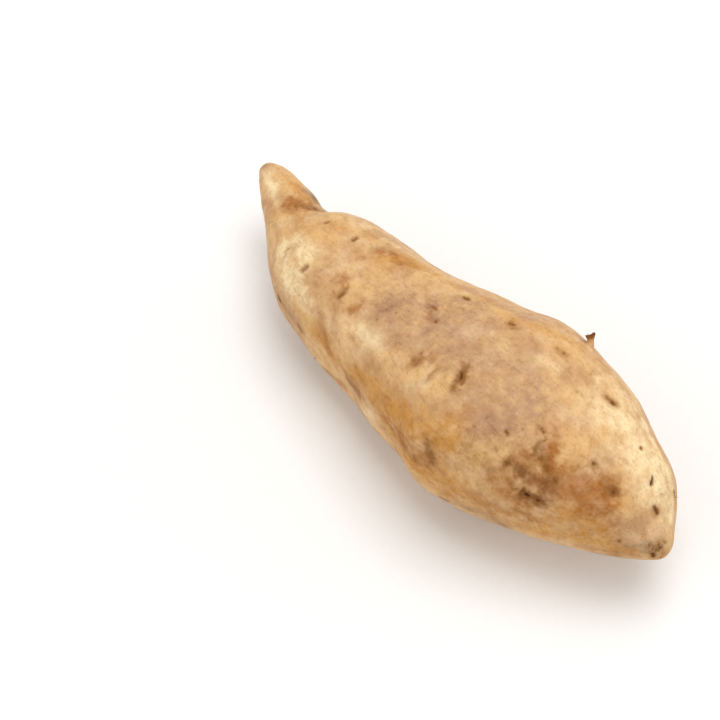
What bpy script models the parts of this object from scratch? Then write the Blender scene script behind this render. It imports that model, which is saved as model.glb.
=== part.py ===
"""A whole sweet potato lying on its belly: one storage root, grown as one piece.

It has a tapered neck with a fold where the neck meets the shoulder, a fat body with shallow
furrows and lumps, a corky scar at each end, root eyes in their dents, the stub of a side root,
and a small flat spot that it rests on.

Metres, +Z up. The root lies along X, neck at -X and blunt end at +X. The origin is under the
middle of its box, on the surface it rests on.
"""
import math
import random

import bmesh
import bpy
import numpy as np
from mathutils import Vector, noise
from mathutils.bvhtree import BVHTree

MM = 0.001

# Driving dimensions: the root's length, its greatest width and height.
LENGTH = 190.5 * MM
WIDTH = 67.5 * MM
HEIGHT = 63 * MM

# The root's form, station by station from the neck tip to the blunt end. "along" is a share of
# LENGTH, "drift" is how far the centre line strays to +Y and "width" the full width, as shares
# of WIDTH, and "underside" and "crown" are heights as shares of HEIGHT.
STATIONS = (
    # along, drift, width, underside, crown
    (0.000, 0.015, 0.00, 0.46, 0.46),
    (0.040, -0.018, 0.182, 0.35, 0.54),
    (0.095, -0.07, 0.285, 0.28, 0.58),
    (0.147, -0.12, 0.39, 0.21, 0.63),
    (0.200, -0.13, 0.515, 0.145, 0.68),
    (0.253, -0.12, 0.62, 0.10, 0.73),
    (0.305, -0.125, 0.67, 0.07, 0.77),
    (0.405, -0.13, 0.735, 0.03, 0.84),
    (0.505, -0.115, 0.87, 0.00, 0.92),
    (0.555, -0.095, 0.925, 0.00, 0.955),
    (0.605, -0.08, 1.03, 0.00, 0.99),
    (0.658, -0.068, 1.01, 0.01, 1.00),
    (0.705, -0.058, 0.965, 0.03, 0.985),
    (0.753, -0.035, 0.90, 0.06, 0.95),
    (0.858, -0.012, 0.68, 0.178, 0.84),
    (0.910, 0.00, 0.51, 0.25, 0.77),
    (0.963, -0.006, 0.243, 0.348, 0.61),
    (1.000, -0.02, 0.00, 0.46, 0.46),
)
SECTION_SQUARENESS = 2.12  # 2 is an ellipse
REST_DEPTH = 1.2 * MM  # how far the belly is flattened where it rests

# How the skin is divided into faces: across the starting block, along it, and the share of
# LENGTH that each end of the block covers.
FACES_ACROSS = 16
FACES_ALONG = 64
CAP_SHARE = 0.035
SAME_PLACE = 1e-5  # on the block, less than this is no distance

# Lengthwise furrows, in the five rows that side roots grow in, and the lumps between them.
FURROW_ROWS = 5
FURROW_DEPTH = 0.011  # share of the local radius
FURROW_TWIST = 1.3  # radians from end to end
LUMPS = ((42 * MM, 1.5 * MM), (19 * MM, 0.8 * MM), (8 * MM, 0.25 * MM))  # size and height

# The fold across the top of the neck, where a slanting plane cuts it: a point of that plane, the
# direction it faces (to the tip), the side of the neck it is on and how far round it reaches
# (0 is +Y, a quarter turn is up).
FOLD_AT = (-61 * MM, 2 * MM, 42 * MM)
FOLD_AXIS = (-0.80, 0.45, 0.40)
FOLD_SIDE = math.radians(50)
FOLD_REACH = math.radians(70)
FOLD_DIVIDED = 6 * MM  # how far from the plane the faces are divided once more
GROOVE_DEPTH = 1.7 * MM
GROOVE_SLOPES = (5 * MM, 2.2 * MM)  # half-widths to the tip and to the shoulder
SHOULDER_HEIGHT = 1.3 * MM
SHOULDER_PAST = 6 * MM
SHOULDER_HALF = 5 * MM

# Marks are placed by x and by the direction, in degrees, in which they lie from the straight
# line at AXIS_HEIGHT (0 is +Y, 90 is up).
AXIS_HEIGHT = 30 * MM

# Root eyes and scars that lie in dents of their own.
EYES = (
    # x mm, direction, half-length across the root, half-length along it, depth mm
    (-49, 144, 2.4, 1.5, 0.7),
    (-45, 88, 2.4, 1.5, 0.7),
    (-33, 132, 2.2, 2.2, 0.5),
    (-28, 82, 1.5, 1.5, 0.35),
    (-24, 136, 2.0, 2.4, 0.5),
    (-4, 98, 2.5, 2.2, 0.6),
    (0, 73, 2.0, 1.6, 0.5),
    (17, 72, 2.0, 1.7, 0.6),
    (20, 116, 2.2, 3.0, 0.9),
    (27, 158, 2.4, 3.0, 0.5),
    (35, 67, 1.5, 1.5, 0.35),
    (54, 60, 1.9, 2.2, 0.7),
    (57, 144, 2.2, 3.0, 0.7),
    (65, 95, 1.5, 1.5, 0.35),
    (70, 56, 1.5, 1.5, 0.35),
    (74, 97, 2.0, 2.4, 0.6),
    (80, 62, 1.9, 1.5, 0.5),
)
# More of them on the far side, by chance: how many, from which x and over what length in mm, the
# directions of the rows they grow in, how far they stray from a row, their half-length in mm,
# their length along the root as a share of that across it, and their depth as a share of it.
HIDDEN_EYES = 10
HIDDEN_SEED = 4
HIDDEN_FROM = -60
HIDDEN_OVER = 135
HIDDEN_ROWS = (-20, 10, 200, 225, 310)
HIDDEN_STRAY = 8
HIDDEN_SIZE = (1.6, 2.4)
HIDDEN_STRETCH = (0.8, 1.2)
HIDDEN_DEPTH = 0.27

# A dent's raised rim and edge, as shares of its half-length, and the rim's height as a share of
# the depth. Up to DENT_DIVIDED the faces are divided once more.
RIM_AT = 1.6
RIM_BREADTH = 0.45
RIM_HEIGHT = 0.2
DENT_DIVIDED = 1.9
DENT_END = 4

# The stub of a side root: where it grows, how far round it the faces are divided once more,
# the direction it leans in, and its cuts upward (height, radius). It flares at its top, which is
# torn into a long and a short prong.
STUB_AT = (35.8, 40.8)
STUB_CLEARING = 4.5 * MM
STUB_LEAN = (-0.62, 0.56, 0.55)
STUB_UPRIGHT = 2  # from this cut on, the cuts lie across the lean and no longer along the skin
STUB_CUTS = (
    (0.4 * MM, 1.8 * MM),
    (1.2 * MM, 1.15 * MM),
    (2.4 * MM, 0.92 * MM),
    (3.3 * MM, 1.1 * MM),
    (3.9 * MM, 1.85 * MM),
)
STUB_PRONG = 2 * MM
STUB_UNEVEN = 1  # how much longer the prong towards the blunt end is
STUB_TEAR = 0.3 * MM

# The corky scar at each end: radius, depth of its middle, height of its rim.
NECK_SCAR = (3.0 * MM, 0.5 * MM, 0.35 * MM)
BLUNT_SCAR = (7.0 * MM, 1.1 * MM, 0.1 * MM)

# The skin: golden tan in linear values, and satin.
SKIN_COLOUR = (0.62, 0.39, 0.17, 1)
SKIN_ROUGHNESS = 0.55


def curve_through(at, values):
    """A smooth function through the values: a cubic between stations, with their mean slopes."""
    at = np.asarray(at, float)
    values = np.asarray(values, float)
    slopes = np.gradient(values, at)

    def evaluate(where):
        i = int(np.clip(np.searchsorted(at, where) - 1, 0, len(at) - 2))
        span = at[i + 1] - at[i]
        t = (where - at[i]) / span
        rise = t * t * (3 - 2 * t)
        leaving = t * (1 - t) ** 2 * span * slopes[i]
        arriving = t * t * (1 - t) * span * slopes[i + 1]
        return float(values[i] + (values[i + 1] - values[i]) * rise + leaving - arriving)

    return evaluate


def bell(distance, half_width):
    """1 in the middle, falling smoothly to about a third at the half-width."""
    return math.exp(-((distance / half_width) ** 2))


def polar_angle(share):
    """The angle from a sphere's pole with this share of its length behind it. Widths that are
    smooth in this angle close in a round end."""
    return np.arccos(1 - 2 * np.clip(share, 0, 1))


def divided_block():
    """A block from -1 to 1 with even four-sided faces, more rows of them along X than across."""
    bm = bmesh.new()
    bmesh.ops.create_cube(bm, size=2)
    bmesh.ops.subdivide_edges(bm, edges=bm.edges[:], cuts=FACES_ACROSS - 1, use_grid_fill=True)
    lengthwise = [
        edge for edge in bm.edges
        if abs(edge.verts[0].co.x - edge.verts[1].co.x) > SAME_PLACE
    ]
    bmesh.ops.subdivide_edges(bm, edges=lengthwise, cuts=FACES_ALONG // FACES_ACROSS - 1)
    return bm


def place_on_root(x, y, z):
    """The share of LENGTH and the direction round the root for a point of the block. The ends of
    the block close the tips, and its square rings become round."""
    across = y * math.sqrt(1 - z * z / 2)
    up = z * math.sqrt(1 - y * y / 2)
    if abs(x) > 1 - SAME_PLACE:
        share = CAP_SHARE * (across * across + up * up)
        share = share if x < 0 else 1 - share
    else:
        share = CAP_SHARE + (1 - 2 * CAP_SHARE) * (x + 1) / 2
    return share, math.atan2(up, across)


def shape_body(bm):
    """Draws the block out along the stations, with its furrows."""
    along, drift, width, underside, crown = np.array(STATIONS).T
    angles = polar_angle(along)
    drift_at = curve_through(angles, drift * WIDTH)
    radius_at = curve_through(angles, width * WIDTH / 2)
    underside_at = curve_through(angles, underside * HEIGHT)
    crown_at = curve_through(angles, crown * HEIGHT)
    for vert in bm.verts:
        share, around = place_on_root(*vert.co)
        across, up = math.cos(around), math.sin(around)
        square = abs(across) ** SECTION_SQUARENESS + abs(up) ** SECTION_SQUARENESS
        reach = square ** (-1 / SECTION_SQUARENESS)
        reach *= 1 + FURROW_DEPTH * math.cos(FURROW_ROWS * around + FURROW_TWIST * share)
        angle = float(polar_angle(share))
        low, high = underside_at(angle), crown_at(angle)
        vert.co = (
            (share - 0.5) * LENGTH,
            drift_at(angle) + across * reach * radius_at(angle),
            (low + high) / 2 + up * reach * (high - low) / 2,
        )
    bm.normal_update()


def divide(bm, chosen):
    """Divides the chosen faces once more, both ways."""
    edges = {edge for face in bm.faces if chosen(face) for edge in face.edges}
    bmesh.ops.subdivide_edges(bm, edges=list(edges), cuts=1, use_grid_fill=True)
    bm.normal_update()


def past_fold(point):
    return (Vector(FOLD_AT) - point).dot(Vector(FOLD_AXIS).normalized())


def off_fold(normal):
    return math.remainder(math.atan2(normal.z, normal.y) - FOLD_SIDE, math.tau)


def fold_neck(bm):
    """Sinks the fold at the base of the neck and swells the shoulder past it."""
    divide(bm, lambda face: (
        abs(past_fold(face.calc_center_median())) < FOLD_DIVIDED
        and abs(off_fold(face.normal)) < FOLD_REACH
    ))
    moves = []
    for vert in bm.verts:
        past = past_fold(vert.co)
        step = SHOULDER_HEIGHT * bell(past - SHOULDER_PAST, SHOULDER_HALF)
        step -= GROOVE_DEPTH * bell(past, GROOVE_SLOPES[past > 0])
        moves.append(vert.normal * step * bell(off_fold(vert.normal), FOLD_REACH))
    for vert, move in zip(bm.verts, moves):
        vert.co += move
    bm.normal_update()


def raise_lumps(bm):
    for size, height in LUMPS:
        for vert in bm.verts:
            vert.co += vert.normal * height * noise.noise(vert.co / size)
        bm.normal_update()


def flatten_belly(bm):
    """Presses the lowest skin flat, where the root rests."""
    floor = min(vert.co.z for vert in bm.verts) + REST_DEPTH
    for vert in bm.verts:
        vert.co.z = max(vert.co.z, floor)


def set_origin(bm):
    """Moves the root so that the origin is under the middle of its box."""
    points = np.array([vert.co for vert in bm.verts])
    low, high = points.min(0), points.max(0)
    middle = (low + high) / 2
    bmesh.ops.translate(bm, verts=bm.verts[:], vec=(-middle[0], -middle[1], -low[2]))


def skin_at(tree, x, degrees):
    """The point of the skin that lies in this direction from the axis line, and its normal."""
    turn = math.radians(degrees)
    start = Vector((x * MM, 0, AXIS_HEIGHT))
    point, normal, _, _ = tree.ray_cast(start, Vector((0, math.cos(turn), math.sin(turn))))
    return point, normal


def grow_stub(bm):
    """Draws the stub of the side root out of the skin, cut by cut, and tears its top."""
    foot, normal = skin_at(BVHTree.FromBMesh(bm), *STUB_AT)
    lean = Vector(STUB_LEAN).normalized()
    divide(bm, lambda face: (face.calc_center_median() - foot).length < STUB_CLEARING)
    heart = min(bm.verts, key=lambda vert: (vert.co - foot).length)
    top = list(heart.link_faces)
    for n, (height, radius) in enumerate(STUB_CUTS):
        made = bmesh.ops.extrude_face_region(bm, geom=top)["geom"]
        bmesh.ops.delete(bm, geom=top, context="FACES")
        top = [item for item in made if isinstance(item, bmesh.types.BMFace)]
        ring = {vert for face in top for vert in face.verts}
        heart = max(ring, key=lambda vert: sum(face in top for face in vert.link_faces))
        ring -= {heart}
        heart.co = foot + lean * height
        across = normal.lerp(lean, min(1, n / STUB_UPRIGHT)).normalized()
        for vert in ring:
            spread = vert.co - foot
            spread -= across * spread.dot(across)
            vert.co = heart.co + spread.normalized() * radius
    heart.co -= lean * STUB_TEAR
    for vert in ring:
        side = (vert.co.x - heart.co.x) / radius
        vert.co += lean * (STUB_PRONG * (1 + STUB_UNEVEN * side) * abs(side) - STUB_TEAR)
    bm.normal_update()


def hidden_eyes():
    """Root eyes for the side turned away, by chance but in the five furrow rows."""
    chance = random.Random(HIDDEN_SEED)
    for n in range(HIDDEN_EYES):
        x = HIDDEN_FROM + HIDDEN_OVER * (n + chance.uniform(0.2, 0.8)) / HIDDEN_EYES
        row = chance.choice(HIDDEN_ROWS)
        size = chance.uniform(*HIDDEN_SIZE)
        direction = row + chance.uniform(-HIDDEN_STRAY, HIDDEN_STRAY)
        yield x, direction, size, size * chance.uniform(*HIDDEN_STRETCH), size * HIDDEN_DEPTH


def dent_reach(point, middle, normal, halves):
    """How far a point is from the middle of a dent, as a share of the dent's size."""
    apart = point - middle
    lengthwise = Vector((1, 0, 0)) if abs(normal.x) < 0.9 else Vector((0, 0, 1))
    along = (lengthwise - normal * lengthwise.dot(normal)).normalized()
    across = normal.cross(along)
    return Vector((
        apart.dot(across) / halves[0], apart.dot(along) / halves[1], apart.dot(normal) / max(halves),
    )).length


def press_dent(bm, middle, normal, halves, depth, lip):
    """Presses the skin in at one place and raises a rim round it."""
    for vert in bm.verts:
        reach = dent_reach(vert.co, middle, normal, halves)
        if reach < DENT_END:
            rim = lip * bell(reach - RIM_AT, RIM_BREADTH)
            vert.co += normal * (rim - depth * bell(reach, 1))


def press_eyes(bm):
    """Divides the skin more finely round each root eye, then presses the eye in."""
    tree = BVHTree.FromBMesh(bm)
    eyes = []
    for x, degrees, across, along, depth in (*EYES, *hidden_eyes()):
        middle, normal = skin_at(tree, x, degrees)
        eyes.append((middle, normal, (across * MM, along * MM), depth * MM))
    divide(bm, lambda face: any(
        dent_reach(face.calc_center_median(), middle, normal, halves) < DENT_DIVIDED
        for middle, normal, halves, _ in eyes
    ))
    for middle, normal, halves, depth in eyes:
        press_dent(bm, middle, normal, halves, depth, depth * RIM_HEIGHT)
    bm.normal_update()


def scar_ends(bm):
    """Sinks the corky scars where the root was broken from the plant and from its tail."""
    for way, (radius, depth, rim) in ((-1, NECK_SCAR), (1, BLUNT_SCAR)):
        tip = max(bm.verts, key=lambda vert: vert.co.x * way)
        press_dent(bm, tip.co.copy(), Vector((way, 0, 0)), (radius / RIM_AT,) * 2, depth, rim)
    bm.normal_update()


def skin_material():
    material = bpy.data.materials.new("golden tan sweet potato skin")
    material.use_nodes = True
    shader = material.node_tree.nodes["Principled BSDF"]
    shader.inputs["Base Color"].default_value = SKIN_COLOUR
    shader.inputs["Roughness"].default_value = SKIN_ROUGHNESS
    shader.inputs["Metallic"].default_value = 0
    material.diffuse_color = SKIN_COLOUR
    return material


def main():
    for old in list(bpy.data.objects):
        bpy.data.objects.remove(old)
    bm = divided_block()
    shape_body(bm)
    fold_neck(bm)
    raise_lumps(bm)
    flatten_belly(bm)
    set_origin(bm)
    grow_stub(bm)
    press_eyes(bm)
    scar_ends(bm)
    set_origin(bm)
    for face in bm.faces:
        face.smooth = True
    mesh = bpy.data.meshes.new("sweet_potato")
    bm.to_mesh(mesh)
    mesh.materials.append(skin_material())
    root = bpy.data.objects.new("sweet_potato", mesh)
    collection = bpy.data.collections.new("sweet potato")
    bpy.context.scene.collection.children.link(collection)
    collection.objects.link(root)


main()
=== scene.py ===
"""The looks of a whole sweet potato, lying on its belly on a pale floor in soft studio light.

The skin, with the stub of the side root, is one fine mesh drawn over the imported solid. Its root
eyes, scabs, pores and fold are cut in as real relief. Only the dry rootlets and the torn fibres
of the end scar are pieces of their own. Millimetres are used for marks and relief, metres for
the scene.
"""
import math
import random

import bmesh
import bpy
import numpy as np
from mathutils import Matrix, Vector, noise
from mathutils.bvhtree import BVHTree


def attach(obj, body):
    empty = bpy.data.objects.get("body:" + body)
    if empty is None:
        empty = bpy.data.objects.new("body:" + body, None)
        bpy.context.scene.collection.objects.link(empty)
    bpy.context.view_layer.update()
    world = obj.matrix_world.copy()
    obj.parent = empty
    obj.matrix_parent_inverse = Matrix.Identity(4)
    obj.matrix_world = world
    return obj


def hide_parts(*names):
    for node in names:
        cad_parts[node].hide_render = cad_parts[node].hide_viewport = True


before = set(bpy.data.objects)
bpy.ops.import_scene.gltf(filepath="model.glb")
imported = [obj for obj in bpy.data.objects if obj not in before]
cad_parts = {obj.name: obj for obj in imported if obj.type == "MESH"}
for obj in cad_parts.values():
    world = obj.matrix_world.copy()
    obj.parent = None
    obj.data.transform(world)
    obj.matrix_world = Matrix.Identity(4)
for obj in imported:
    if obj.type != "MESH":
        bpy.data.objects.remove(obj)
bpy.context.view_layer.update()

MM = 0.001

# The view of the photograph: how far round and how high the camera stands, its lens, its
# distance, the point that it looks at, and how far it sees, in metres.
VIEW_ROUND = math.radians(48.3)
VIEW_UP = math.radians(60)
LENS_MM = 120
VIEW_DISTANCE = 0.76
VIEW_AIM = Vector((-0.0183, -0.0201, 0.0278))
VIEW_END = 20

# The photograph's frame, in pixels, the camera's sensor, and a pixel's width at the point that
# the camera looks at.
FRAME = 720
SENSOR_MM = 36
PIXEL_MM = VIEW_DISTANCE / MM * SENSOR_MM / LENS_MM / FRAME

# The marks that show are placed in the photograph's frame, in pixels across from its left
# and down from its top, and cast from the camera onto the skin.

# Clefts of root eyes, scabs and the fold: path in pixels, half-width mm, depth mm, darkness.
CLEFTS = (
    (((302, 270.6), (306.5, 266.5)), 0.7, 0.4, 0.5),
    (((325.5, 223), (328.5, 221.8)), 0.5, 0.3, 0.5),
    (((353, 239.8), (356, 237.6)), 0.6, 0.45, 0.54),
    (((339, 296.8), (342.5, 294.4)), 0.72, 0.3, 0.56),
    (((465, 297.6), (468, 299)), 0.55, 0.35, 0.72),
    (((510, 323.6), (513.5, 324.6)), 0.5, 0.25, 0.6),
    (((511, 328), (513, 328.2)), 0.4, 0.25, 0.4),
    (((466.5, 368), (465.5, 370.5)), 0.5, 0.12, 0.4),
    (((461.8, 374), (460.9, 378.8)), 0.65, 0.25, 0.8),
    (((432, 306.6), (436, 309.2)), 0.5, 0.22, 0.52),
    (((454.5, 386), (453.5, 388.5)), 0.5, 0.12, 0.45),
    (((463.5, 381), (461.5, 384)), 0.45, 0.2, 0.5),
    (((607, 397.7), (609, 399)), 0.6, 0.25, 0.5),
    (((612, 401.8), (614, 403.6)), 0.65, 0.35, 0.75),
    (((542.2, 429.6), (543.8, 432.4)), 0.5, 0.25, 0.56),
    (((652.6, 477), (651, 484.5)), 0.35, 0.25, 0.6),
    (((651.3, 482.5), (650.9, 485)), 0.5, 0.3, 0.55),
    (((654.2, 507), (655, 509)), 0.6, 0.35, 0.6),
    (((656, 510.5), (656.8, 512.5)), 0.6, 0.35, 0.75),
    (((525.2, 494.7), (527.5, 495.6)), 0.75, 0.4, 0.95),
    (((536, 500.3), (538.6, 501.5)), 0.75, 0.4, 0.85),
    (((530.5, 497.5), (533, 498.8)), 0.6, 0.2, 0.55),
    (((506.3, 431.5), (507.3, 434)), 0.5, 0.3, 0.6),
    (((427, 380.5), (429.5, 375.5)), 0.5, 0.15, 0.25),
    (((433, 372), (437, 369.3)), 0.5, 0.15, 0.3),
    (((394.5, 254.2), (397.5, 254.8)), 0.45, 0.15, 0.3),
    (((398.5, 264.8), (401, 264.3)), 0.45, 0.15, 0.3),
    (((285, 251.2), (289, 248.4)), 0.45, 0.2, 0.35),
    (((283.8, 258), (285.5, 255.5)), 0.45, 0.15, 0.3),
    (((298.5, 325), (301, 330)), 0.6, 0.3, 0.45),
    (((537, 444), (535, 449), (536, 453.5)), 0.45, 0.15, 0.4),
    (((430.4, 452.5), (430.8, 455.5)), 0.6, 0.15, 0.35),
    # The dark line along the fold: cork, and partly painted shade of the crease.
    (((303, 207.6), (309, 208.4), (316, 209.6), (322.5, 211.4)), 0.5, 0.25, 0.38),
    (((288, 206.2), (296, 207)), 0.45, 0.2, 0.2),
    (((360, 319.5), (370, 326.5)), 0.3, 0.12, 0.18),
    (((414, 267), (425, 271), (438, 275)), 0.3, 0.1, 0.22),
    (((434, 410), (444, 412)), 0.35, 0.1, 0.2),
    (((659.3, 546), (659.5, 549)), 0.45, 0.25, 0.6),
    (((652.8, 553.5), (653.4, 556)), 0.5, 0.3, 0.8),
    (((649.4, 544.5), (649.2, 547.5)), 0.4, 0.2, 0.42),
    (((661.5, 548), (662.5, 550.5)), 0.3, 0.12, 0.4),
    (((656.8, 546), (656, 548.3)), 0.3, 0.12, 0.42),
    (((649.8, 551), (650.6, 553.4)), 0.3, 0.12, 0.4),
    (((663, 541.5), (665, 542.5)), 0.4, 0.15, 0.35),
    (((657.8, 541.5), (658.4, 544)), 0.35, 0.15, 0.4),
    (((655.6, 549.5), (656, 552)), 0.4, 0.25, 0.45),
)

# Pores, where fine rootlets grew: place in pixels, half-width mm, depth mm, darkness.
PORES = (
    ((593.8, 464), 0.5, 0.35, 0.74),
    ((641.2, 448.2), 0.5, 0.35, 0.65),
    ((613.6, 492.8), 0.65, 0.35, 0.8),
    ((431, 311.6), 0.4, 0.15, 0.42),
    ((435.6, 321.8), 0.5, 0.25, 0.68),
    ((457.4, 375.8), 0.35, 0.1, 0.5),
    ((376.3, 304.5), 0.4, 0.1, 0.38),
    ((386, 310), 0.4, 0.1, 0.38),
    ((391.6, 306), 0.4, 0.1, 0.36),
    ((414, 361), 0.4, 0.1, 0.36),
    ((421, 354), 0.4, 0.1, 0.36),
    ((428, 366), 0.4, 0.1, 0.36),
    ((459.2, 389.6), 0.35, 0.1, 0.42),
    ((564, 353), 0.5, 0.25, 0.55),
    ((558, 348.5), 0.45, 0.15, 0.4),
    ((619.3, 541.2), 0.5, 0.2, 0.65),
    ((576.8, 392.4), 0.4, 0.15, 0.4),
    ((487, 417.7), 0.4, 0.15, 0.45),
    ((590.5, 374.6), 0.35, 0.15, 0.25),
    ((473.5, 427), 0.4, 0.15, 0.45),
    ((522.7, 429.2), 0.4, 0.15, 0.4),
    ((302, 255.8), 0.4, 0.15, 0.35),
    ((320.4, 270.3), 0.35, 0.15, 0.3),
    ((327, 274.7), 0.3, 0.1, 0.25),
    ((396.4, 312.5), 0.4, 0.1, 0.4),
    ((376, 320), 0.45, 0.15, 0.35),
    ((385.2, 406), 0.4, 0.1, 0.35),
    ((391.5, 405.8), 0.4, 0.1, 0.3),
    ((402.5, 434.9), 0.45, 0.1, 0.4),
    ((309, 209), 0.5, 0.25, 0.5),
    ((458.5, 381.5), 0.4, 0.15, 0.5),
    ((464.8, 373), 0.4, 0.15, 0.55),
    ((459.5, 376.5), 0.35, 0.12, 0.5),
    ((464.6, 377), 0.35, 0.12, 0.5),
    ((462.2, 382), 0.3, 0.1, 0.5),
    ((467.5, 371.5), 0.3, 0.1, 0.4),
    ((457, 388), 0.3, 0.1, 0.4),
    ((449.5, 388), 0.3, 0.08, 0.35),
    ((460, 371.5), 0.3, 0.08, 0.35),
    ((451, 390.5), 0.4, 0.1, 0.4),
    ((468.5, 365.5), 0.45, 0.1, 0.35),
    ((661.8, 552), 0.35, 0.15, 0.35),
    ((645, 549), 0.35, 0.1, 0.3),
    ((647.5, 541.5), 0.3, 0.1, 0.3),
    ((259.6, 181.4), 0.4, 0.15, 0.4),
)

# The cork in the middle of a mark that shows, as a share of its darkness.
MARK_CORK = 0.9
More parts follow.
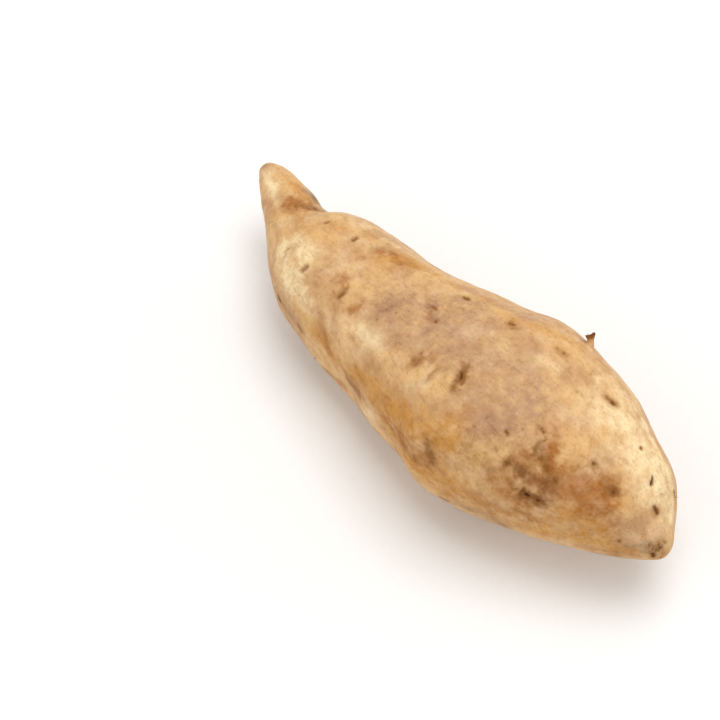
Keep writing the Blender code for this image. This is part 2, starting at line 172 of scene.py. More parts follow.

# Stains of the skin by kind, with painted shade, painted bounced light and painted highlights
# among them, marked where they stand: path and half-width in pixels, strength.
STAINS_AND_PAINTED_LIGHT = {
    "umber_and_shade": (
        (((528, 475), (548, 490)), 16, 0.35),
        # Painted shade where a neighbouring root touches the lower left edge.
        (((396, 436), (410, 456)), 8, 0.25),
        (((362, 272), (380, 288)), 12, 0.14),
        (((466, 448), (488, 464)), 13, 0.36),
        (((300, 205), (316, 208)), 4.5, 0.35),
        (((339, 295), (343, 292)), 5, 0.4),
        (((414, 362), (426, 357)), 7, 0.3),
        (((428, 380), (437, 370)), 4.5, 0.2),
        (((511, 463), (522, 471)), 5.5, 0.42),
        (((541, 442), (536, 449), (536, 455)), 3.2, 0.4),
        (((546, 455), (549, 476)), 6, 0.4),
        (((605, 488), (616, 492)), 6.5, 0.38),
        (((598, 453), (594, 466)), 7, 0.16),
        (((427, 441), (431, 460)), 8, 0.45),
        (((524, 494.5), (541, 502)), 6, 0.42),
        (((453, 387), (459, 380), (466, 368)), 4.5, 0.35),
        # Painted contact shade on the lower left edge, by the neighbouring cut root.
        (((350, 382), (360, 394)), 6, 0.3),
        (((368, 318), (396, 306)), 4, 0.22),
    ),
    "rust_and_shade": (
        (((524, 468), (565, 480), (605, 494)), 24, 0.62),
        (((498, 484), (524, 504)), 14, 0.4),
        (((565, 492), (590, 500)), 14, 0.3),
        # Painted shade where a neighbouring root lies against the lower left edge.
        (((402, 432), (412, 445), (424, 460)), 14, 0.45),
        (((470, 496), (500, 510), (530, 516)), 11, 0.45),
        (((320, 316), (324, 334), (330, 350)), 9, 0.45),
        # This stroke and the next are painted shade where neighbouring roots touch the lower left
        # edge.
        (((348, 378), (358, 390)), 9, 0.5),
        (((384, 418), (404, 446), (416, 462)), 10, 0.45),
        (((580, 546), (605, 551), (630, 554)), 6, 0.35),
        (((590, 512), (612, 518)), 9, 0.35),
        (((290, 203), (310, 206)), 8, 0.65),
        (((284, 208), (300, 215), (325, 215)), 7, 0.3),
        (((273, 225), (279, 231), (277, 238)), 4, 0.35),
        (((283, 258), (292, 247)), 4.5, 0.35),
        (((334, 284), (344, 280)), 8, 0.5),
        (((338, 292), (344, 290)), 6, 0.4),
        (((350, 311), (356, 308)), 6.5, 0.65),
        (((378, 251), (393, 253)), 7, 0.6),
        (((394, 262), (402, 264)), 5, 0.5),
        (((412, 362), (430, 355)), 8, 0.5),
        (((430, 376), (438, 368)), 5, 0.4),
        (((429, 307), (431, 319)), 5, 0.35),
        (((396, 345), (414, 352)), 9, 0.25),
        (((553, 445), (549, 468)), 7.5, 0.75),
        (((524, 494), (542, 502)), 8, 0.5),
        (((453, 386), (460, 378), (466, 368)), 6, 0.5),
        (((460, 357), (461, 361)), 3.5, 0.4),
        (((604, 396), (616, 405)), 5, 0.5),
        (((510, 322), (516, 328)), 5, 0.4),
        (((556, 348), (566, 354)), 6, 0.4),
        (((540, 427), (547, 434)), 4, 0.35),
    ),
    "plum_and_shade": (
        (((378, 306), (430, 318), (480, 352), (530, 395)), 26, 0.42),
        (((478, 345), (560, 385)), 20, 0.12),
        (((470, 400), (520, 440)), 26, 0.38),
        (((398, 342), (440, 350)), 18, 0.4),
        (((465, 312), (492, 322)), 11, 0.3),
        (((262, 168), (266, 178)), 5, 0.2),
        (((384, 312), (405, 297)), 11, 0.55),
        (((434, 306), (436, 326)), 10, 0.5),
        # This stroke and the next are painted shade, darkening the upper edge.
        (((455, 298), (480, 303)), 7, 0.5),
        (((466, 288), (500, 303), (530, 318)), 9, 0.5),
        (((428, 318), (480, 313)), 13, 0.25),
        # Painted shade, darkening the upper edge.
        (((372, 276), (440, 285)), 12, 0.2),
        (((534, 345), (560, 358)), 11, 0.22),
        (((478, 425), (508, 422)), 12, 0.5),
        (((529, 394), (528, 412)), 9, 0.45),
        (((523, 480), (547, 487)), 10, 0.6),
        (((615, 525), (640, 527)), 9, 0.35),
    ),
    "amber_and_warm_shade": (
        # Down to (430, 482): painted shade on the lower edges, warm with light bounced off a cut
        # root.
        (((352, 372), (400, 415), (440, 440)), 20, 0.6),
        (((386, 424), (406, 456), (444, 484)), 16, 0.6),
        (((456, 488), (500, 512)), 13, 0.5),
        (((530, 528), (580, 538), (630, 550)), 12, 0.55),
        (((560, 512), (600, 528)), 15, 0.55),
        (((462, 412), (485, 432)), 14, 0.35),
        (((430, 458), (460, 480)), 12, 0.35),
        (((362, 374), (376, 390)), 8, 0.4),
        (((456, 438), (486, 462)), 14, 0.35),
        (((496, 488), (545, 524)), 14, 0.3),
        (((396, 410), (410, 426)), 9, 0.4),
        (((399, 442), (411, 462)), 9, 0.65),
        (((430, 482), (448, 495)), 8, 0.5),
        (((560, 430), (590, 440)), 14, 0.25),
        (((296, 305), (335, 356)), 12, 0.6),
        (((300, 230), (360, 250), (400, 280)), 14, 0.25),
        (((286, 178), (308, 200)), 6, 0.5),
        (((296, 212), (304, 226)), 8, 0.3),
        (((340, 226), (390, 246), (440, 276), (500, 306)), 8, 0.4),
        (((505, 315), (545, 332), (582, 346)), 9, 0.4),
        (((600, 485), (622, 500)), 10, 0.4),
        (((384, 256), (415, 266)), 9, 0.5),
    ),
    # Pale patches of the skin, which are in part painted highlights.
    "cream_and_highlight": (
        (((338, 352), (350, 364)), 7, 0.35),
        (((366, 376), (374, 390)), 8, 0.35),
        # Painted light on the far side of the fold, which lies in shade.
        (((304, 186), (310, 194)), 4, 0.45),
        (((283, 250), (290, 290), (306, 315)), 14, 0.7),
        (((300, 268), (304, 292)), 11, 0.4),
        (((264, 170), (272, 186)), 7, 0.45),
        (((345, 322), (372, 340)), 12, 0.3),
        (((355, 237), (388, 252)), 13, 0.4),
        # This stroke and the next are painted highlights on the right end, where the light falls
        # brightest.
        (((595, 400), (635, 430), (655, 470)), 18, 0.4),
        (((610, 448), (652, 462), (655, 490)), 12, 0.4),
        (((603, 378), (630, 402)), 10, 0.35),
        # Painted highlight along the right rim, where the light from the right falls.
        (((645, 425), (662, 458), (672, 490), (671, 520)), 6, 0.5),
        (((500, 345), (530, 365)), 12, 0.25),
        (((384, 240), (398, 247)), 5, 0.5),
        (((436, 313.5), (437, 315.5)), 3, 0.5),
        (((529.5, 499.5), (533.5, 501)), 3.5, 0.4),
        # Partly painted highlight on the upper left of the body.
        (((297, 240), (312, 255)), 11, 0.6),
        (((362, 328), (380, 346)), 10, 0.5),
        (((405, 388), (426, 382)), 7, 0.35),
        (((452, 328), (474, 336)), 9, 0.4),
        # These two are painted highlights near the right end.
        (((600, 412), (620, 425)), 11, 0.2),
        (((620, 417), (633, 442)), 10, 0.35),
        (((541, 360), (557, 368)), 8, 0.4),
        (((630, 470), (640, 500)), 9, 0.4),
        (((270, 180), (277, 205)), 6, 0.45),
        # These two are painted highlights on the right end and along its rim.
        (((630, 395), (650, 425), (663, 462), (671, 500)), 26, 0.22),
        (((661, 484), (669, 512)), 11, 0.42),
        (((322, 213), (350, 216), (392, 238), (425, 262)), 11, 0.32),
        (((578, 340), (588, 348)), 7, 0.45),
    ),
    "ash_and_shade": (
        # Painted grey shade along the lower edge by the blunt end.
        (((626, 546), (647, 545)), 5, 0.55),
        (((648, 551), (664, 543)), 6, 0.5),
        (((264, 167), (274, 165)), 3, 0.4),
        # Painted grey shade along the upper left outline.
        (((276, 290), (292, 318)), 5, 0.35),
        (((640, 520), (660, 532)), 8, 0.25),
    ),
}

# The side turned away has the same marks by chance: seed, the part of the root that they are on
# and how many there are of each. Their places are x in mm and the direction in degrees in which
# they lie from a straight line at the axis height (0 is +Y, 90 is up).
AXIS_HEIGHT = 30
TIP_RADIUS = 2
HIDDEN_SEED = 11
HIDDEN_X = (-78, 84)
HIDDEN_DIRECTIONS = (182, 392)
HIDDEN_CLEFTS = 14
HIDDEN_PORES = 22
HIDDEN_STAINS = {"umber_and_shade": 12, "rust_and_shade": 14, "plum_and_shade": 12, "amber_and_warm_shade": 9, "cream_and_highlight": 10, "ash_and_shade": 5}

# Between what bounds those marks are drawn: length and half-width in mm, darkness or strength.
CLEFT_LENGTH = (0.6, 2.2)
CLEFT_HALF = (0.45, 0.7)
CLEFT_DARKNESS = (0.4, 0.8)
PORE_LENGTH = 0.3
PORE_HALF = (0.3, 0.55)
PORE_DARKNESS = (0.3, 0.95)
STAIN_LENGTH = (3, 12)
STAIN_HALF = (1.5, 4)
STAIN_STRENGTH = (0.3, 0.6)

# How deep in mm such a cleft or pore would be at full darkness.
DARKEST_DEPTH = 0.4

# The skin's mesh: how near corners are merged, in metres, how flat two triangles lie that are
# joined, and how often the faces are divided. Round a mark, as far out as the margin in mm, edges
# longer than the fine edge in mm are divided once more.
MERGED = 1e-6
JOINED = math.radians(40)
DIVISIONS = 2
MARK_MARGIN = 0.4
FINE_EDGE = 0.5

# Below this height, in mm, the solid's flat resting spot stays as it is.
REST_BELOW = 0.15

# Noise: how fast finer lumps fade, how much finer each octave is, and how far apart in lumps two
# seeds are read.
NOISE_FADE = 1
NOISE_FINER = 2
NOISE_APART = (7.31, 3.17, 5.73)

# Layers of noise: size in mm, height in mm or share, octaves. A layer's seed is the first seed
# of its kind and its number.
UNEVEN = ((11, 0.26, 1), (5, 0.15, 1), (2.4, 0.07, 1))
UNEVEN_SEED = 1
CRUST = ((1.3, 0.16, 1), (0.7, 0.08, 1))  # where it is corky
CRUST_SEED = 20
CRUST_GAIN = 1.2
RAGGED = ((3.2, 0.55, 2), (1.1, 0.35, 1))  # for the edges of marks
RAGGED_SEED = 11
FINE = ((0.8, 1, 2),)  # for what lies within a mark
FINE_SEED = 13

# The form of a cleft or pore, with distances as shares of its half-width and heights as shares of
# its depth: how uneven the pit is, and how high, how far out and how broad its rim is.
PIT_UNEVEN = 0.3
RIM_HEIGHT = 0.18
RIM_AT = 2
RIM_BREADTH = 0.7

# Its colour: how fast the cork fades outwards, how far the brown halo reaches and how brown that
# is, as a share of the mark's darkness, and how ragged both are.
CORK_FADE = 0.45
CORK_RAGGED = 0.5
HALO = 0.55
HALO_REACH = 3.2
HALO_RAGGED = 0.5

# How fast a stroke, of stain or of painted light and shade, fades outwards from its path.
STROKE_FADE = 0.9

# The corky scars of the two ends: a place near their middle, how far they reach, darkness.
END_SCARS = (
    ((-93.5, 4.5, 31.0), 3.4, 0.4),
    ((91.8, 0.5, 33.2), 2.8, 0.5),
    ((94.0, 0.5, 31.0), 4.2, 0.35),
)

# Where a scar's cork ends, as a share of its reach, how ragged that edge is, how full the cork is
# and how flecked.
SCAR_EDGE = 1.4
SCAR_RAGGED = 0.3
SCAR_CORK = 0.75
SCAR_FLECKS = 0.5

# The stub of the side root: the middle of its foot, the way it leans, how tall it is, and how far
# up and how far out from its middle line the skin is the stub's, in mm.
STUB_FOOT = (35.9, 25.8, 52.3)
STUB_LEAN = (-0.62, 0.56, 0.55)
STUB_HEIGHT = 3.9
STUB_FROM = 0.3
STUB_AROUND = 2.6

# Its bark: how much that swells it, how high up it starts, over what height it closes and how
# ragged it is. Cork grows darker and grey comes in between two heights each. All in mm or shares.
STUB_SWELL = 0.22
BARK_FROM = 0.8
BARK_OVER = 2.4
BARK_RAGGED = 0.4
STUB_CORK_HEIGHTS = (2.35, 4.6)
STUB_CORK = (0.3, 0.75)
STUB_GREY_HEIGHTS = (2.4, 4.0)
STUB_GREY = (0, 1)

# A Mix node's colour sockets share their names with others, so they go by number, as the sockets
# of a Math node do: there 0, 1 and 2 are the value, the factor and what is added.
MIX_A = 6
MIX_B = 7
MIX_RESULT = 2


def camera_axes():
    """The directions to the right, up and back of the photograph's view."""
    right = Vector((math.cos(VIEW_ROUND), math.sin(VIEW_ROUND), 0))
    back = Vector((
        math.sin(VIEW_ROUND) * math.cos(VIEW_UP),
        -math.cos(VIEW_ROUND) * math.cos(VIEW_UP),
        math.sin(VIEW_UP),
    ))
    return right, back.cross(right), back


def srgb(code):
    """A colour written as #rrggbb, in linear values by the sRGB curve."""
    parts = [int(code[i:i + 2], 16) / 255 for i in (1, 3, 5)]
    return (*[c / 12.92 if c <= 0.04045 else ((c + 0.055) / 1.055) ** 2.4 for c in parts], 1)


def node(tree, kind, inputs=None, **settings):
    """Adds a node with its settings; each input is a value or the socket it is linked from."""
    made = tree.nodes.new("ShaderNode" + kind)
    for name, value in settings.items():
        setattr(made, name, value)
    for name, value in (inputs or {}).items():
        if isinstance(value, bpy.types.NodeSocket):
            tree.links.new(value, made.inputs[name])
        else:
            made.inputs[name].default_value = value
    return made


def deselect():
    bpy.ops.object.select_all(action="DESELECT")


def work_on(piece):
    """Makes this the only selected object and the active one."""
    deselect()
    piece.select_set(True)
    bpy.context.view_layer.objects.active = piece


def settle(piece):
    """Puts a piece's place and turn into its mesh, and its object at the origin."""
    bpy.context.view_layer.update()
    piece.data.transform(piece.matrix_world)
    piece.matrix_world = Matrix.Identity(4)


def place_on_skin(tree, x, degrees):
    """The point of the skin in this direction from the axis line, and the normal there, in mm."""
    turn = math.radians(degrees)
    start = Vector((x, 0, AXIS_HEIGHT))
    way = Vector((0, math.cos(turn), math.sin(turn)))
    point, normal, _, _ = tree.ray_cast(start, way)
    if point is None:  # past a tip, which does not reach to the axis line
        point, normal, _, _ = tree.find_nearest(start + way * TIP_RADIUS)
    return point, normal


def place_in_view(tree, across, down):
    """The point of the skin that the camera sees at this place of the photograph's frame, in mm."""
    right, up, back = camera_axes()
    eye = (VIEW_AIM + back * VIEW_DISTANCE) / MM
    aside = right * (across - FRAME / 2) + up * (FRAME / 2 - down)
    way = aside * PIXEL_MM - back * VIEW_DISTANCE / MM
    point = tree.ray_cast(eye, way)[0]
    if point is None:  # just outside the outline
        point = tree.find_nearest(eye + way)[0]
    return point


def off_path(points, path):
    """How far each point is from a path, in mm."""
    nearest = np.linalg.norm(points - path[0], axis=1)
    for start, end in zip(path, path[1:]):
        run = end - start
        share = np.clip((points - start) @ run / (run @ run), 0, 1)
        nearest = np.minimum(nearest, np.linalg.norm(points - start - share[:, None] * run, axis=1))
    return nearest


def path_in_view(tree, places):
    """The points of the skin at places in the photograph's frame."""
    return np.array([place_in_view(tree, *place) for place in places])


def hidden_path(tree, chance, length):
    """A short path on the skin, somewhere on the side turned away."""
    x = chance.uniform(*HIDDEN_X)
    degrees = chance.uniform(*HIDDEN_DIRECTIONS)
    turn = chance.uniform(0, math.tau)
    half_x = length * math.cos(turn) / 2
    half_round = math.degrees(length * math.sin(turn) / 2 / AXIS_HEIGHT)
    ends = (x - half_x, degrees - half_round), (x + half_x, degrees + half_round)
    return np.array([place_on_skin(tree, *end)[0] for end in ends])


def shown_cuts(tree):
    """The clefts and pores that show, with their paths in mm."""
    pores = (((place,), *rest) for place, *rest in PORES)
    for places, half, depth, darkness in (*CLEFTS, *pores):
        yield path_in_view(tree, places), half, depth, MARK_CORK * darkness


def hidden_cuts(tree, chance):
    """The clefts and pores of the side turned away."""
    for _ in range(HIDDEN_CLEFTS):
        darkness = chance.uniform(*CLEFT_DARKNESS)
        path = hidden_path(tree, chance, chance.uniform(*CLEFT_LENGTH))
        yield path, chance.uniform(*CLEFT_HALF), DARKEST_DEPTH * darkness, darkness
    for _ in range(HIDDEN_PORES):
        darkness = chance.uniform(*PORE_DARKNESS)
        path = hidden_path(tree, chance, PORE_LENGTH)
        yield path, chance.uniform(*PORE_HALF), DARKEST_DEPTH * darkness, darkness


def stain_and_light_strokes(tree, chance, kind):
    """The strokes of one kind: those that show, among them painted highlights, shade and bounced
    light, and the plain stain strokes of the side turned away.
    """
    for places, half, strength in STAINS_AND_PAINTED_LIGHT[kind]:
        yield path_in_view(tree, places), half * PIXEL_MM, strength
    for _ in range(HIDDEN_STAINS[kind]):
        path = hidden_path(tree, chance, chance.uniform(*STAIN_LENGTH))
        yield path, chance.uniform(*STAIN_HALF), chance.uniform(*STAIN_STRENGTH)


def all_marks(tree):
    """Every cleft and pore, and every kind's strokes of stain, painted shade and painted light."""
    chance = random.Random(HIDDEN_SEED)
    cuts = [*shown_cuts(tree), *hidden_cuts(tree, chance)]
    stains_and_light = {kind: list(stain_and_light_strokes(tree, chance, kind)) for kind in STAINS_AND_PAINTED_LIGHT}
    return cuts, stains_and_light


def finer_copy(source):
    """A copy of the solid's mesh, merged, joined into four-sided faces and divided."""
    skin = bpy.data.objects.new("sweet_potato_skin", source.data.copy())
    bpy.context.scene.collection.objects.link(skin)
    skin.data.materials.clear()
    work_on(skin)
    bpy.ops.mesh.customdata_custom_splitnormals_clear()
    bpy.ops.object.mode_set(mode="EDIT")
    bpy.ops.mesh.select_all(action="SELECT")
    bpy.ops.mesh.remove_doubles(threshold=MERGED)
    bpy.ops.mesh.tris_convert_to_quads(face_threshold=JOINED, shape_threshold=JOINED)
    bpy.ops.object.mode_set(mode="OBJECT")
    rounding = skin.modifiers.new("rounding", "SUBSURF")
    rounding.levels = rounding.render_levels = DIVISIONS
    bpy.ops.object.modifier_apply(modifier=rounding.name)
    return skin


def divide_near(skin, cuts):
    """Divides the faces at clefts and pores once more, where they are still coarse."""
    bm = bmesh.new()
    bm.from_mesh(skin.data)
    middles = np.array([face.calc_center_median() for face in bm.faces]) / MM
    near = np.zeros(len(middles), bool)
    for path, half, _, _ in cuts:
        near |= off_path(middles, path) < half + MARK_MARGIN
    edges = {
        edge for face, wanted in zip(bm.faces, near) if wanted
        for edge in face.edges if edge.calc_length() > FINE_EDGE * MM
    }
    bmesh.ops.subdivide_edges(bm, edges=list(edges), cuts=1, use_grid_fill=True)
    bm.to_mesh(skin.data)
    bm.free()


def surface_tree(skin):
    """The skin's surface in mm, for finding places on it."""
    bm = bmesh.new()
    bm.from_mesh(skin.data)
    bmesh.ops.scale(bm, verts=bm.verts[:], vec=(1 / MM,) * 3)
    tree = BVHTree.FromBMesh(bm)
    bm.free()
    return tree


def by_chance(points, layers, first_seed):
    """Layers of smooth noise summed at each point."""
    total = np.zeros(len(points))
    for seed, (size, height, octaves) in enumerate(layers, first_seed):
        shift = Vector(apart * seed for apart in NOISE_APART)
        total += height * np.array([
            noise.fractal(Vector(point) / size + shift, NOISE_FADE, NOISE_FINER, octaves)
            for point in points
        ])
    return total


def press_cuts(points, cuts, ragged, fine):
    """What clefts and pores give each point: rise in mm, cork and brown halo, 0 to 1."""
    rise, cork, halo = np.zeros((3, len(points)))
    for path, half, depth, darkness in cuts:
        share = off_path(points, path) / half
        rise -= depth * np.exp(-share ** 2) * (1 + PIT_UNEVEN * fine)
        rise += RIM_HEIGHT * depth * np.exp(-((share - RIM_AT) / RIM_BREADTH) ** 2)
        out = np.maximum(share + CORK_RAGGED * fine, 0)
        cork = np.maximum(cork, darkness * np.exp(-CORK_FADE * out ** 2))
        spread = (share / HALO_REACH) ** 2 * (1 + HALO_RAGGED * ragged)
        halo = np.maximum(halo, HALO * darkness * np.exp(-spread))
    return rise, cork, halo


def scar_cork(points, tree, ragged, fine):
    """The cork that the end scars give each point, 0 to 1."""
    cork = np.zeros(len(points))
    for place, reach, darkness in END_SCARS:
        middle = np.array(tree.find_nearest(Vector(place))[0])
        share = np.linalg.norm(points - middle, axis=1) / reach
        cap = np.clip(SCAR_EDGE - share + SCAR_RAGGED * ragged, 0, 1)
        cork = np.maximum(cork, cap * darkness * (SCAR_CORK + SCAR_FLECKS * fine))
    return cork


def stub_bark(points, fine):
    """What the stub's bark gives each point: rise in mm, cork and grey, 0 to 1."""
    lean = np.array(STUB_LEAN) / np.linalg.norm(STUB_LEAN)
    apart = points - np.array(STUB_FOOT)
    height = apart @ lean
    aside = np.linalg.norm(apart - height[:, None] * lean, axis=1)
    on_stub = (height > STUB_FROM) & (aside < STUB_AROUND)
    rise = STUB_SWELL * on_stub * np.clip(height, 0, 1)
    bark = on_stub * np.clip((height - BARK_FROM) / BARK_OVER + BARK_RAGGED * fine, 0, 1)
    cork = bark * np.interp(height, STUB_CORK_HEIGHTS, STUB_CORK)
    grey = on_stub * np.interp(height, STUB_GREY_HEIGHTS, STUB_GREY)
    return rise, cork, grey


def stain_and_light_cover(points, strokes, ragged):
    """How strongly the strokes of a kind cover each point, 0 to 1, with ragged edges."""
    bare = np.ones(len(points))
    for path, half, strength in strokes:
        share = np.maximum(off_path(points, path) / half + ragged, 0)
        bare *= 1 - strength * np.exp(-STROKE_FADE * share ** 2)
    return 1 - bare


def hand_over(piece, material):
    """Gives a piece its material and smooth shading, puts it on the root and hides the solid."""
    piece.data.materials.append(material)
    piece.data.shade_smooth()
    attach(piece, "root")
    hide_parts("sweet_potato")


def build_skin():
    """Makes the skin with its relief and marks; returns the plain surface in mm, under them."""
    skin = finer_copy(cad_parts["sweet_potato"])
    tree = surface_tree(skin)
    cuts, stains_and_light = all_marks(tree)
    divide_near(skin, cuts)

    mesh = skin.data
    normals = np.array([vertex.normal for vertex in mesh.vertices])
    points = np.array([vertex.co for vertex in mesh.vertices]) / MM
    resting = points[:, 2] < REST_BELOW
    ragged = by_chance(points, RAGGED, RAGGED_SEED)
    fine = by_chance(points, FINE, FINE_SEED)
    pressed, cork, halo = press_cuts(points, cuts, ragged, fine)
    swollen, stub_cork, stub_grey = stub_bark(points, fine)
    cork = np.maximum.reduce((cork, scar_cork(points, tree, ragged, fine), stub_cork))
    crust = by_chance(points, CRUST, CRUST_SEED) * np.clip(cork * CRUST_GAIN, 0, 1)
    rise = by_chance(points, UNEVEN, UNEVEN_SEED) + pressed + swollen + crust
    points += normals * rise[:, None]
    points[:, 2] = np.maximum(points[:, 2], 0)
    points[resting, 2] = 0
    mesh.vertices.foreach_set("co", (points * MM).ravel())

    covers = {kind: stain_and_light_cover(points, strokes, ragged) for kind, strokes in stains_and_light.items()}
    covers["umber_and_shade"] = 1 - (1 - covers["umber_and_shade"]) * (1 - halo)
    covers["ash_and_shade"] = np.maximum(covers["ash_and_shade"], stub_grey)
    covers["cork"] = cork
    for name, values in covers.items():
        made = mesh.attributes.new(name, "FLOAT", "POINT")
        made.data.foreach_set("value", values.astype(np.float32))
    mesh.update()
    hand_over(skin, skin_material())
    return tree


# Thin, living skin of a pale sweet potato: washed and dry, golden tan, satin. It has a waxy
# sheen where it is whole, and is dull and dark where it is corky.
SKIN_TAN = "#c99c6c"
SKIN_GOLD = "#e1b67d"
SKIN_SAND = "#e4c096"
CORK_MID = "#93602e"
CORK_DARK = "#4c2609"

# Patterns of the skin by chance: size of a spot in mm, detail, roughness, how much of that
# fineness it has along x, y and z, and a shift that keeps the patterns apart.
PATTERNS = {
    "clouds": (16, 3, 0.55, (1, 1, 1), 0),
    "warmth": (9, 3, 0.6, (1, 1, 1), 40),
    "mottle": (3.5, 4, 0.65, (1, 1, 1), 90),
    "speckle": (2.2, 5, 0.7, (1, 1, 1), 60),
    "grain": (0.9, 3, 0.6, (1, 1, 1), 0),
    "threads": (1.0, 2, 0.5, (0.14, 1, 1), 15),
    "ridges": (1.2, 2, 0.5, (1, 0.22, 0.22), 25),
}

# Colours laid over one another: the pattern or mark that one follows, where that begins to show
# and where it is full, how strong it gets, its colour, and how it is laid on.
LAYERS = (
    ("clouds", 0.38, 0.62, 1, SKIN_GOLD, "MIX"),
    ("warmth", 0.45, 0.7, 0.6, SKIN_SAND, "MIX"),
    # The next six layers hold the skin's stains and also painted highlights, shade and bounced
    # light.
    ("cream_and_highlight", 0, 1, 0.95, "#fbe4b4", "MIX"),
    ("amber_and_warm_shade", 0, 1, 0.95, "#ce8f36", "MIX"),
    ("plum_and_shade", 0, 1, 0.9, "#af8469", "MIX"),
    ("ash_and_shade", 0, 1, 0.85, "#9c8468", "MIX"),
    ("rust_and_shade", 0, 1, 0.95, "#a25f19", "MIX"),
    ("umber_and_shade", 0, 1, 1, "#6c4216", "MIX"),
    ("mottle", 0.4, 0.7, 0.28, "#b98a58", "MULTIPLY"),
    ("grain", 0.5, 0.75, 0.3, "#a87848", "MULTIPLY"),
    ("threads", 0.52, 0.75, 0.2, "#a5733f", "MULTIPLY"),
    ("cork", 0.05, 0.6, 1, CORK_MID, "MIX"),
    ("flakes", 0.6, 1.15, 1, CORK_DARK, "MIX"),
)

# Fine relief of the skin: which pattern, how high in mm, and how strongly all of it shows.
GRAIN_RELIEF = (("grain", 0.1), ("threads", 0.07), ("ridges", 0.09), ("mottle", 0.15))
RELIEF_STRENGTH = 0.8

# Satin where it is whole, from its smoothest to its most worn spots, and duller where it is corky.
WORN = (0.3, 0.7)
SATIN = (0.5, 0.62)
CORK_DULLER = 0.3

# The IOR is that of dry plant skin. It is porous, so it mirrors less than a closed surface would.
SKIN_IOR = 1.4
SKIN_MIRROR = 0.22

# Stains, and the painted light and shade among them, are broken up by the speckle, from this share
# on and by this much of it. Dark flakes of cork follow the grain by this much.
STROKE_WHOLE = 0.45
STROKE_BROKEN = 1.1
FLAKE_GRAIN = 0.5


def spot_patterns(tree):
    """Each pattern of the skin as a socket, 0 to 1."""
    place = node(tree, "TexCoord").outputs["Object"]
    mm = node(tree, "VectorMath", {"Vector": place, "Scale": 1 / MM}, operation="SCALE").outputs[0]
    seen = {}
    for name, (size, detail, roughness, stretch, shift) in PATTERNS.items():
        spread = node(tree, "Mapping", {
            "Vector": mm, "Location": (shift, shift / 2, -shift), "Scale": stretch,
        })
        seen[name] = node(tree, "TexNoise", {
            "Vector": spread.outputs[0], "Scale": 1 / size, "Detail": detail, "Roughness": roughness,
        }).outputs[0]
    return seen


def skin_material():
    material = bpy.data.materials.new("thin dry skin of a pale sweet potato")
    material.use_nodes = True
    tree = material.node_tree
    shader = tree.nodes["Principled BSDF"]
    seen = spot_patterns(tree)
    broken = node(tree, "Math", {
        0: seen["speckle"], 1: STROKE_BROKEN, 2: STROKE_WHOLE,
    }, operation="MULTIPLY_ADD").outputs[0]
    for kind in STAINS_AND_PAINTED_LIGHT:
        cover = node(tree, "Attribute", attribute_name=kind).outputs["Fac"]
        seen[kind] = node(tree, "Math", {0: cover, 1: broken}, operation="MULTIPLY").outputs[0]
    seen["cork"] = node(tree, "Attribute", attribute_name="cork").outputs["Fac"]
    seen["flakes"] = node(tree, "Math", {
        0: seen["grain"], 1: FLAKE_GRAIN, 2: seen["cork"],
    }, operation="MULTIPLY_ADD").outputs[0]

    colour = srgb(SKIN_TAN)
    for name, start, full, strength, shade, laid in LAYERS:
        shown = node(tree, "MapRange", {
            "Value": seen[name], "From Min": start, "From Max": full, "To Max": strength,
        }, interpolation_type="SMOOTHSTEP")
        colour = node(tree, "Mix", {
            "Factor": shown.outputs[0], MIX_A: colour, MIX_B: srgb(shade),
        }, data_type="RGBA", blend_type=laid).outputs[MIX_RESULT]

    worn = node(tree, "MapRange", {
        "Value": seen["mottle"], "From Min": WORN[0], "From Max": WORN[1],
        "To Min": SATIN[0], "To Max": SATIN[1],
    })
    height = 0
    for name, high in GRAIN_RELIEF:
        height = node(tree, "Math", {
            0: seen[name], 1: high, 2: height,
        }, operation="MULTIPLY_ADD").outputs[0]
    bump = node(tree, "Bump", {"Strength": RELIEF_STRENGTH, "Distance": MM, "Height": height})
    dull = node(tree, "Math", {
        0: seen["cork"], 1: CORK_DULLER, 2: worn.outputs[0],
    }, operation="MULTIPLY_ADD").outputs[0]
    tree.links.new(colour, shader.inputs["Base Color"])
    tree.links.new(dull, shader.inputs["Roughness"])
    tree.links.new(bump.outputs[0], shader.inputs["Normal"])
    shader.inputs["IOR"].default_value = SKIN_IOR
    shader.inputs["Specular IOR Level"].default_value = SKIN_MIRROR
    shader.inputs["Metallic"].default_value = 0
    return material


# Fine rootlets, where they grow out of the skin: place in pixels, the way they point, length in
# mm. The dark ones are old and dry, the pale ones are torn fibres of the inner bark.
DARK_ROOTLETS = (
    ((673.5, 489.5), (0.62, -0.42, -0.48), 4.6),
    ((674.5, 497.5), (0.66, 0.74, 0.1), 1.3),
    ((674.5, 496), (0.75, 0.62, 0.3), 0.9),
    ((651, 484), (-0.42, 0.52, 0.68), 3.2),
    ((651, 484), (0.1, 0.5, 0.8), 1.2),
    ((655, 509), (-0.3, 0.2, 0.9), 1.1),
    ((655, 509), (0.8, -0.2, 0.3), 1.2),
    ((659.5, 547.5), (0.7, 0.6, 0.5), 1.5),
    ((659.5, 547.5), (0.9, -0.2, 0.6), 1.1),
    ((653, 555), (0.8, -0.5, -0.2), 1.4),
    ((653, 555), (0.6, -0.8, 0.4), 1.2),
    ((649.5, 545.5), (0.5, -0.3, 0.9), 1.2),
    ((664, 542), (0.8, 0.6, 0.6), 1.2),
    ((261, 181), (-0.6, -0.75, 0.3), 1.0),
)
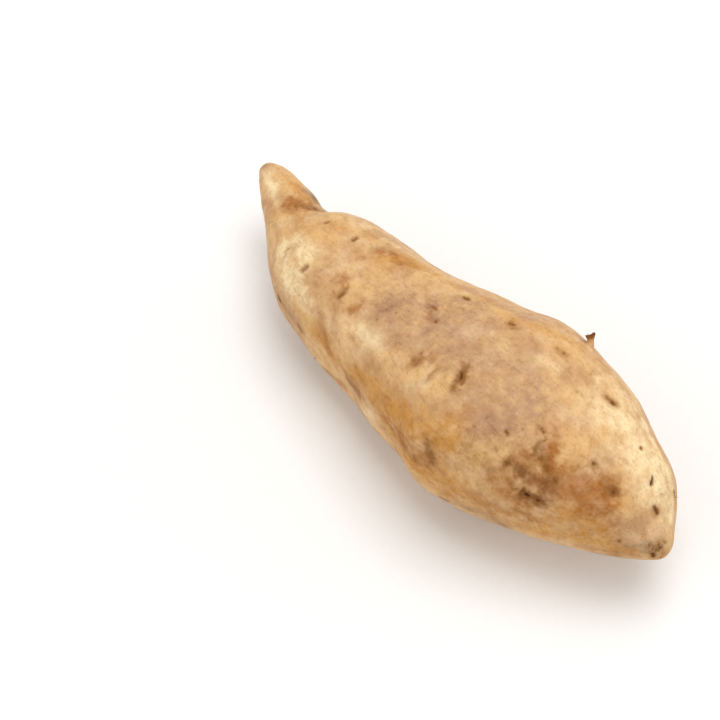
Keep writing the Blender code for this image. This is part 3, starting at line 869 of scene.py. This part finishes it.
PALE_ROOTLETS = (
    ((656.5, 551), (0.3, -0.5, 0.9), 2.0),
    ((653.5, 549.5), (0.1, 0.6, 0.8), 2.2),
    ((658, 551), (0.4, -0.8, 0.5), 2.0),
    ((654.5, 544.5), (0.3, -0.6, 0.8), 1.8),
    ((661.5, 546.5), (0.5, 0.7, 0.4), 2.0),
    ((656.5, 555.5), (0.5, -0.6, 0.6), 2.2),
    ((659, 546), (0.4, 0.4, 0.9), 1.6),
    ((650.5, 544.5), (0.3, 0.7, 0.7), 1.6),
)
HIDDEN_ROOTLETS = 9
HIDDEN_ROOTLET_LENGTH = (1, 3.2)

# How much a hidden rootlet rises from the skin, against how far it may stray aside.
HIDDEN_ROOTLET_RISE = 0.6

# Torn fibres of the stub: how many, their length and how far below the stub's top they start, in
# mm, how far out from its middle that is, as shares of the reach, and how far they lean out.
STUB_FIBRES = 9
STUB_FIBRE_LENGTH = (0.5, 1.3)
STUB_FIBRE_BELOW = 0.4
STUB_REACH = 1.6
STUB_FIBRE_OUT = (0.6, 0.9)
STUB_FIBRE_LEAN = (0.2, 0.8)

# One rootlet, a millimetre long: the radius of its foot in mm, its sides, and, cut by cut, how far
# up it goes in mm, what share of its width it keeps and how far it bends aside in mm.
ROOTLET_FOOT = 0.055
ROOTLET_SIDES = 5
ROOTLET_CUTS = ((0.3, 0.85, 0.01), (0.35, 0.8, 0.05), (0.22, 0.65, 0.07), (0.13, 0.3, 0.07))


def model_rootlet():
    """A thin bent strand, 1 mm long, that stands up from the origin and runs out to a point."""
    deselect()
    bpy.ops.mesh.primitive_circle_add(
        vertices=ROOTLET_SIDES, radius=ROOTLET_FOOT * MM, fill_type="NGON",
    )
    strand = bpy.context.object
    bpy.ops.object.mode_set(mode="EDIT")
    bpy.ops.mesh.select_all(action="SELECT")
    for rise, narrower, aside in ROOTLET_CUTS:
        step = (aside * MM, 0, rise * MM)
        bpy.ops.mesh.extrude_region_move(TRANSFORM_OT_translate={"value": step})
        bpy.ops.transform.resize(value=(narrower, narrower, 1))
    bpy.ops.mesh.select_all(action="SELECT")
    bpy.ops.mesh.normals_make_consistent(inside=False)
    bpy.ops.object.mode_set(mode="OBJECT")
    return strand


def grow_rootlets(strand, name, rootlets, material, chance):
    """Copies the strand to each place, turned to its way by chance, and joins the copies."""
    deselect()
    for place, way, length in rootlets:
        copy = bpy.data.objects.new(name, strand.data.copy())
        bpy.context.scene.collection.objects.link(copy)
        turned = Vector(way).to_track_quat("Z", "Y").to_matrix().to_4x4()
        rolled = Matrix.Rotation(chance.uniform(0, math.tau), 4, "Z")
        moved = Matrix.Translation(Vector(place) * MM)
        copy.matrix_world = moved @ turned @ rolled @ Matrix.Scale(length, 4)
        settle(copy)
        copy.select_set(True)
        bpy.context.view_layer.objects.active = copy
    bpy.ops.object.join()
    grown = bpy.context.object
    grown.name = name
    hand_over(grown, material)


def shown_rootlets(tree, rootlets):
    """The rootlets that show, with their places on the skin."""
    return [(place_in_view(tree, *place), way, length) for place, way, length in rootlets]


def hidden_rootlets(tree, chance):
    """Rootlets by chance on the side turned away, lying nearly along the skin."""
    for _ in range(HIDDEN_ROOTLETS):
        x = chance.uniform(*HIDDEN_X)
        place, normal = place_on_skin(tree, x, chance.uniform(*HIDDEN_DIRECTIONS))
        aside = Vector(chance.uniform(-1, 1) for _ in range(3))
        if place.z > HIDDEN_ROOTLET_LENGTH[1]:
            way = normal * HIDDEN_ROOTLET_RISE + aside
            yield place, way, chance.uniform(*HIDDEN_ROOTLET_LENGTH)


def stub_fibres(chance):
    """Torn fibres round the top of the stub."""
    lean = Vector(STUB_LEAN).normalized()
    side = lean.orthogonal().normalized()
    ring = Vector(STUB_FOOT) + lean * (STUB_HEIGHT - STUB_FIBRE_BELOW)
    for n in range(STUB_FIBRES):
        out = Matrix.Rotation(math.tau * n / STUB_FIBRES, 3, lean) @ side
        place = ring + out * STUB_REACH * chance.uniform(*STUB_FIBRE_OUT)
        way = lean + out * chance.uniform(*STUB_FIBRE_LEAN)
        yield place, way, chance.uniform(*STUB_FIBRE_LENGTH)


def add_rootlets(tree):
    chance = random.Random(HIDDEN_SEED)
    strand = model_rootlet()
    dark = [
        *shown_rootlets(tree, DARK_ROOTLETS), *hidden_rootlets(tree, chance), *stub_fibres(chance),
    ]
    pale = shown_rootlets(tree, PALE_ROOTLETS)
    dry = rootlet_material("dry dark rootlets", DRY_DARK, DRY_LIGHT)
    torn = rootlet_material("torn pale root fibres", TORN_DARK, TORN_LIGHT)
    grow_rootlets(strand, "dry_rootlets", dark, dry, chance)
    grow_rootlets(strand, "torn_fibres", pale, torn, chance)
    bpy.data.objects.remove(strand)


# The two colours of old dry rootlets, and of freshly torn fibres of the inner bark.
DRY_DARK = "#4b3420"
DRY_LIGHT = "#7d5a38"
TORN_DARK = "#a98256"
TORN_LIGHT = "#dcc096"

# Dried fibre is matt. The streaks' size is in mm, and they show between two levels of the noise.
STREAK = 0.5
STREAK_LEVELS = (0.35, 0.65)
FIBRE_ROUGHNESS = 0.85
FIBRE_IOR = 1.5


def rootlet_material(name, dark, light):
    """Dried plant fibre: matt, streaked from dark to light."""
    material = bpy.data.materials.new(name)
    material.use_nodes = True
    tree = material.node_tree
    shader = tree.nodes["Principled BSDF"]
    place = node(tree, "TexCoord").outputs["Object"]
    streaks = node(tree, "TexNoise", {"Vector": place, "Scale": 1 / (STREAK * MM), "Detail": 2})
    shown = node(tree, "MapRange", {
        "Value": streaks.outputs[0], "From Min": STREAK_LEVELS[0], "From Max": STREAK_LEVELS[1],
    }).outputs[0]
    shade = node(tree, "Mix", {
        "Factor": shown, MIX_A: srgb(dark), MIX_B: srgb(light),
    }, data_type="RGBA")
    tree.links.new(shade.outputs[MIX_RESULT], shader.inputs["Base Color"])
    shader.inputs["Roughness"].default_value = FIBRE_ROUGHNESS
    shader.inputs["IOR"].default_value = FIBRE_IOR
    shader.inputs["Metallic"].default_value = 0
    return material


# The floor's card: width of the floor in metres, its two whites, the size of its tooth in mm, and
# how matt it is.
FLOOR_WIDTH = 8
CARD_SHADE = "#f4f3f1"
CARD_WHITE = "#f8f7f5"
CARD_TOOTH = 2.5
CARD_ROUGHNESS = 0.9
CARD_MIRROR = 0.2


def floor_material():
    """Matt white card: even, with a faint tooth that the light just catches."""
    material = bpy.data.materials.new("matt white card")
    material.use_nodes = True
    tree = material.node_tree
    shader = tree.nodes["Principled BSDF"]
    place = node(tree, "TexCoord").outputs["Object"]
    tooth = node(tree, "TexNoise", {"Vector": place, "Scale": 1 / (CARD_TOOTH * MM), "Detail": 2})
    shade = node(tree, "Mix", {
        "Factor": tooth.outputs[0], MIX_A: srgb(CARD_SHADE), MIX_B: srgb(CARD_WHITE),
    }, data_type="RGBA")
    tree.links.new(shade.outputs[MIX_RESULT], shader.inputs["Base Color"])
    shader.inputs["Roughness"].default_value = CARD_ROUGHNESS
    shader.inputs["Specular IOR Level"].default_value = CARD_MIRROR
    return material


def add_floor():
    deselect()
    bpy.ops.mesh.primitive_plane_add(size=FLOOR_WIDTH, location=(0, 0, 0))
    floor = bpy.context.object
    floor.name = "floor"
    settle(floor)
    floor.data.materials.append(floor_material())


# Soft boxes: how far to the right, up and back of the view as shares, distance and size in
# metres, and watts. The white surroundings give the rest of the light.
SOFT_BOXES = (
    ((0.15, 0.75, 1.0), 1.3, 0.9, 10.2),
    ((-0.8, 0.1, 1.0), 1.5, 1.2, 4.4),
    ((1.0, 0.2, 0.15), 1.4, 0.8, 4.3),
)
SKY = 0.5


def add_light():
    right, up, back = camera_axes()
    for n, (share, distance, size, watts) in enumerate(SOFT_BOXES):
        data = bpy.data.lights.new(f"soft_box_{n}", "AREA")
        data.size = size
        data.energy = watts
        way = (right * share[0] + up * share[1] + back * share[2]).normalized()
        box = bpy.data.objects.new(f"soft_box_{n}", data)
        box.rotation_euler = way.to_track_quat("Z", "Y").to_euler()
        box.location = way * distance
        bpy.context.scene.collection.objects.link(box)
    world = bpy.data.worlds.new("white studio")
    world.use_nodes = True
    ground = world.node_tree.nodes["Background"]
    ground.inputs["Color"].default_value = (1, 1, 1, 1)
    ground.inputs["Strength"].default_value = SKY
    bpy.context.scene.world = world
    bpy.context.scene.view_settings.view_transform = "Standard"


def add_camera():
    right, up, back = camera_axes()
    data = bpy.data.cameras.new("camera")
    data.lens = LENS_MM
    data.sensor_width = SENSOR_MM
    data.clip_end = VIEW_END
    camera = bpy.data.objects.new("camera", data)
    camera.matrix_world = Matrix((right, up, back)).transposed().to_4x4()
    camera.location = VIEW_AIM + back * VIEW_DISTANCE
    bpy.context.scene.collection.objects.link(camera)
    bpy.context.scene.camera = camera


add_rootlets(build_skin())
add_floor()
add_light()
add_camera()
